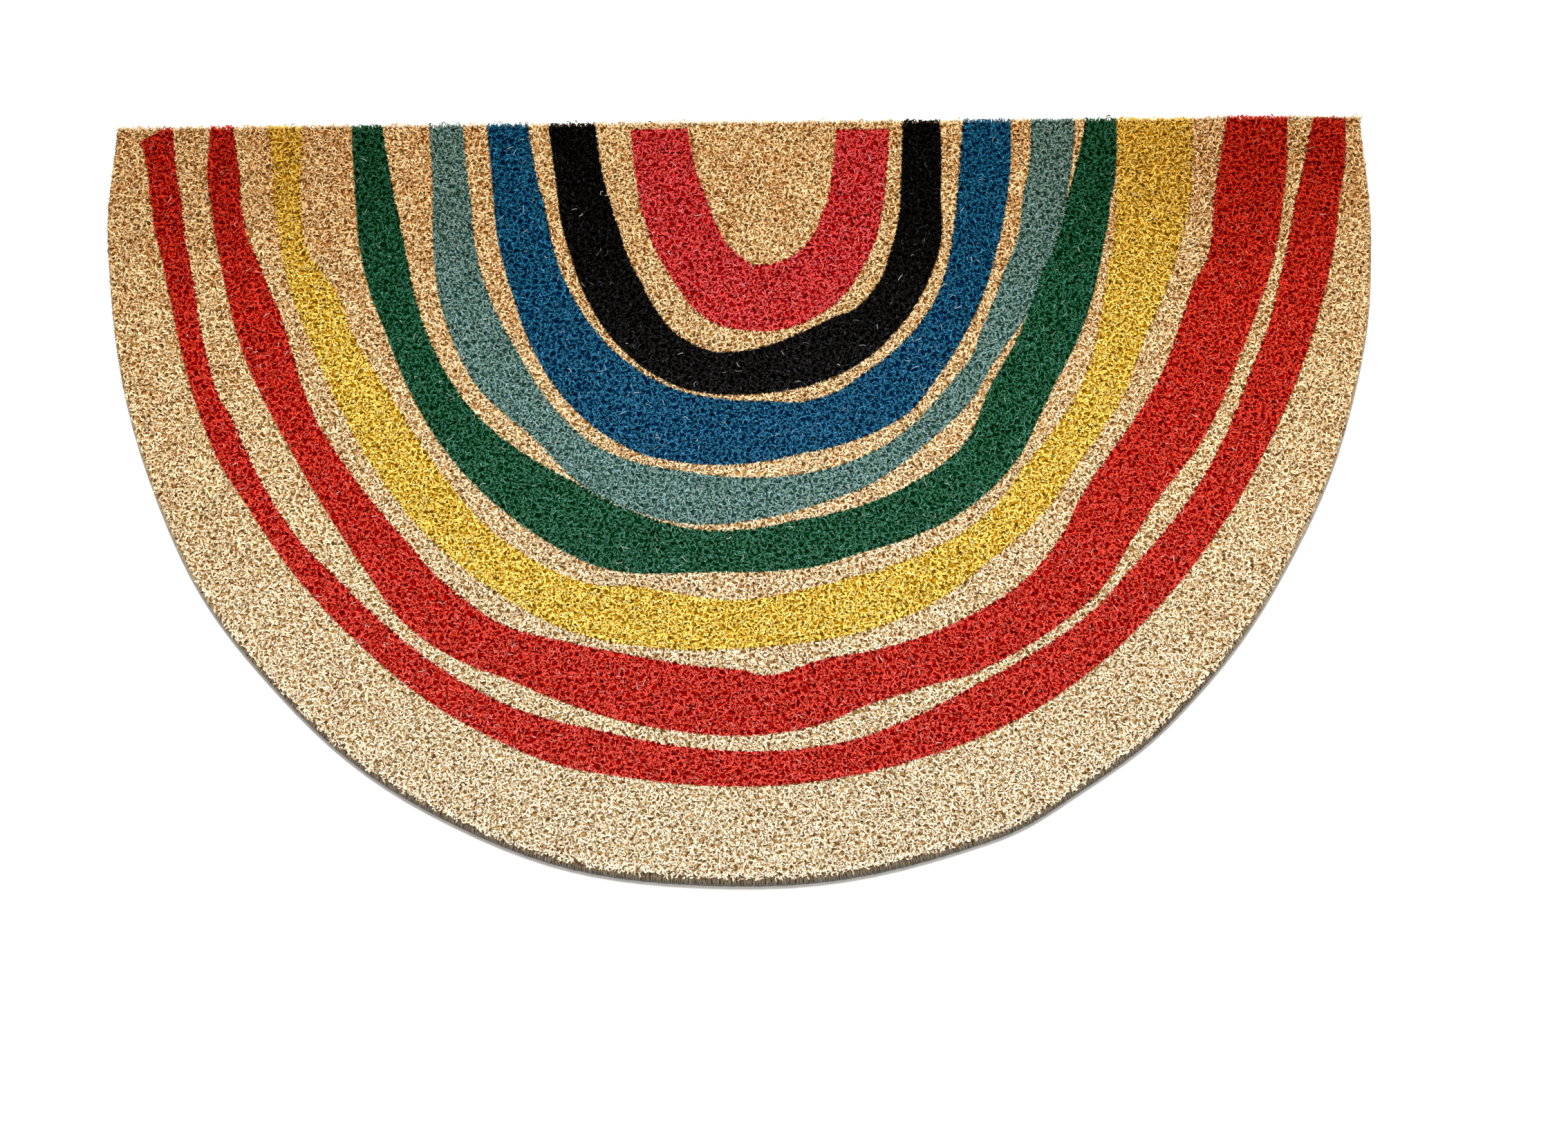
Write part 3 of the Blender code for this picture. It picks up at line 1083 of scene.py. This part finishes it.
class COIRMAT_OT_tufts(bpy.types.Operator):
    """Grow the tufts of the pile, one piece for each arch and each stretch of bare coir"""

    bl_idname = "coir_mat.tufts"
    bl_label = "Tufts"

    def execute(self, context):
        rng = np.random.default_rng(TUFT_SEED)
        tufts = tuft_strands(rng, context.scene.coir_mat_sizes, Outline(PILE_TOP))
        regions = tuft_regions(*tufts.lines[:, 1, :2].T)
        material = printed_coir("printed_coir", spread=0.82, rubbed=0.0)
        for name in sorted(set(regions)):
            settle(strand_mesh("tufts_" + name, tufts.pick(regions == name), RIBBON_POINTS), material)
        return {"FINISHED"}


def edge_row(rng, sizes, foot, top, inset, rise):
    """One row of bristles round the cut side: their lines, and how light they are."""
    count = int(foot.length / sizes.edge_spacing)
    ways = (np.arange(count) + rng.uniform(-0.35, 0.35, count)) / count % 1.0
    low, outward = foot.at(ways)
    high, _ = top.at((ways + rng.normal(0.0, 0.8 * MM, count) / foot.length) % 1.0)
    back = pointing_back(outward)
    pressed = sizes.edge_inset * pointing_back(-outward) - BACK_LEAN * back
    line = []
    for share, climb in EDGE_JOINTS:
        stray = rng.normal(0.0, 0.25 * MM, count) * (share > 0)
        point = low + (high - low) * share - outward * (inset + stray + share * pressed)[:, None]
        tip = PILE_TOP - EDGE_DROP + rise + BACK_RISE * back + rng.normal(0.0, 0.35 * MM, count)
        line.append(np.column_stack((point, PILE_FOOT - EDGE_ROOT + climb * (tip - PILE_FOOT))))
    # Painted shade: the bristles at the back are lit at their tops
    lights = EDGE_LIGHTS + np.outer(back, (0.0, 0.0, 1.0 - EDGE_LIGHTS[-1]))
    return np.stack(line, axis=1), lights


class COIRMAT_OT_edge(bpy.types.Operator):
    """Stand the bristles that show on the cut side of the pile"""

    bl_idname = "coir_mat.edge"
    bl_label = "Cut Edge"

    def execute(self, context):
        sizes = context.scene.coir_mat_sizes
        rng = np.random.default_rng(EDGE_SEED)
        foot = Outline(PILE_FOOT)
        top = Outline(PILE_TOP)
        rows = [edge_row(rng, sizes, foot, top, *row) for row in EDGE_ROWS]
        lines, lights = (np.concatenate(parts) for parts in zip(*rows))
        radius = 0.5 * sizes.edge_width * rng.uniform(0.75, 1.25, len(lines))
        bristles = new_strands(rng, lines, radius[:, None] * (1.0, 1.0), lights)
        settle(strand_mesh("edge_bristles", bristles, TUBE_POINTS), edge_coir())
        return {"FINISHED"}


def loose_strands(rng, sizes, top):
    """Short curly fibres that lie on the pile, away from its edge."""
    tries = 3 * sizes.loose_fibres
    xy = np.stack([rng.uniform(low, high, tries) for low, high in zip(MAT_LOW.xy, MAT_HIGH.xy)], axis=1)
    xy = xy[top.measure(xy)[0] > LOOSE_MARGIN][:sizes.loose_fibres]
    count = len(xy)
    length = rng.uniform(*LOOSE_LENGTHS, count)
    bend = rng.normal(0.0, LOOSE_BEND, count)
    angle = rng.uniform(0.0, math.tau, count)
    steps = LOOSE_JOINTS - 1
    line = []
    for k in range(LOOSE_JOINTS):
        rise = LOOSE_RISE * math.sin(math.pi * (k / steps)) * rng.uniform(0.5, 1.0, count)
        line.append(np.column_stack((xy, PILE_TOP - LOOSE_DEPTH + rise)))
        xy = xy + (length / steps)[:, None] * heading(angle)
        angle = angle + bend
    widths = np.full((count, steps), 0.5 * sizes.loose_width)
    return new_strands(rng, np.stack(line, axis=1), widths, np.ones(LOOSE_JOINTS))


class COIRMAT_OT_loose(bpy.types.Operator):
    """Scatter the loose curly fibres that lie on the pile"""

    bl_idname = "coir_mat.loose"
    bl_label = "Loose Fibres"

    def execute(self, context):
        rng = np.random.default_rng(LOOSE_SEED)
        fibres = loose_strands(rng, context.scene.coir_mat_sizes, Outline(PILE_TOP))
        material = printed_coir("loose_coir", spread=0.3, rubbed=0.75)
        settle(strand_mesh("loose_fibres", fibres, TUBE_POINTS), material)
        return {"FINISHED"}


def key_light():
    light = bpy.data.lights.new("key", "AREA")
    light.size = KEY_SIZE
    light.energy = KEY_POWER
    light.color = KEY_COLOUR
    lamp = new_object("key", light)
    lamp.location = KEY_PLACE
    lamp.rotation_euler = (-Vector(KEY_PLACE)).to_track_quat("-Z", "Y").to_euler()


def soft_world():
    world = bpy.data.worlds.new("studio")
    world.use_nodes = True
    world.node_tree.nodes["Background"].inputs["Color"].default_value = SKY_COLOUR
    bpy.context.scene.world = world
    bpy.context.scene.view_settings.view_transform = "Standard"


def photo_camera():
    camera = bpy.data.cameras.new("camera")
    camera.lens = CAMERA_LENS
    camera.clip_start = 0.01
    back = Vector((0.0, -math.sin(CAMERA_TILT), math.cos(CAMERA_TILT))) * CAMERA_DISTANCE
    tilt = Matrix.Rotation(CAMERA_TILT, 4, "X") @ Matrix.Rotation(CAMERA_ROLL, 4, "Z")
    holder = new_object("camera", camera)
    holder.matrix_world = Matrix.Translation(CAMERA_AIM + back) @ tilt
    bpy.context.scene.camera = holder


class COIRMAT_OT_stage(bpy.types.Operator):
    """Set the pale floor, the soft lights and the camera"""

    bl_idname = "coir_mat.stage"
    bl_label = "Stage"

    def execute(self, context):
        bpy.ops.mesh.primitive_plane_add(size=FLOOR_SIZE)
        floor = context.object
        floor.name = "floor"
        dress(floor, floor_paint())
        key_light()
        soft_world()
        photo_camera()
        return {"FINISHED"}


class COIRMAT_PT_panel(bpy.types.Panel):
    """Lists the mat's pieces, sizes and colours"""

    bl_label = "Coir Mat"
    bl_idname = "COIRMAT_PT_panel"
    bl_space_type = "VIEW_3D"
    bl_region_type = "UI"
    bl_category = "Coir Mat"

    def draw(self, context):
        layout = self.layout
        for operator in OPERATORS:
            layout.operator(operator.bl_idname)
        for group in (context.scene.coir_mat_sizes, context.scene.coir_mat_colours):
            box = layout.box()
            for key in group.bl_rna.properties.keys():
                if key not in ("rna_type", "name"):
                    box.prop(group, key)


OPERATORS = (
    COIRMAT_OT_backing,
    COIRMAT_OT_bed,
    COIRMAT_OT_tufts,
    COIRMAT_OT_edge,
    COIRMAT_OT_loose,
    COIRMAT_OT_stage,
)
CLASSES = (CoirMatSizes, CoirMatColours, *OPERATORS, COIRMAT_PT_panel)


def register():
    for cls in CLASSES:
        bpy.utils.register_class(cls)
    bpy.types.Scene.coir_mat_sizes = PointerProperty(type=CoirMatSizes)
    bpy.types.Scene.coir_mat_colours = PointerProperty(type=CoirMatColours)


def unregister():
    del bpy.types.Scene.coir_mat_colours
    del bpy.types.Scene.coir_mat_sizes
    for cls in reversed(CLASSES):
        bpy.utils.unregister_class(cls)


def declare_sheet():
    """Reads the outline of the pile's foot; it states nothing and keeps nothing."""
    top = Outline(PILE_FOOT).points


def main():
    register()
    bpy.ops.coir_mat.backing()
    bpy.ops.coir_mat.bed()
    bpy.ops.coir_mat.tufts()
    bpy.ops.coir_mat.edge()
    bpy.ops.coir_mat.loose()
    bpy.ops.coir_mat.stage()
    declare_sheet()


if __name__ == "__main__":
    main()
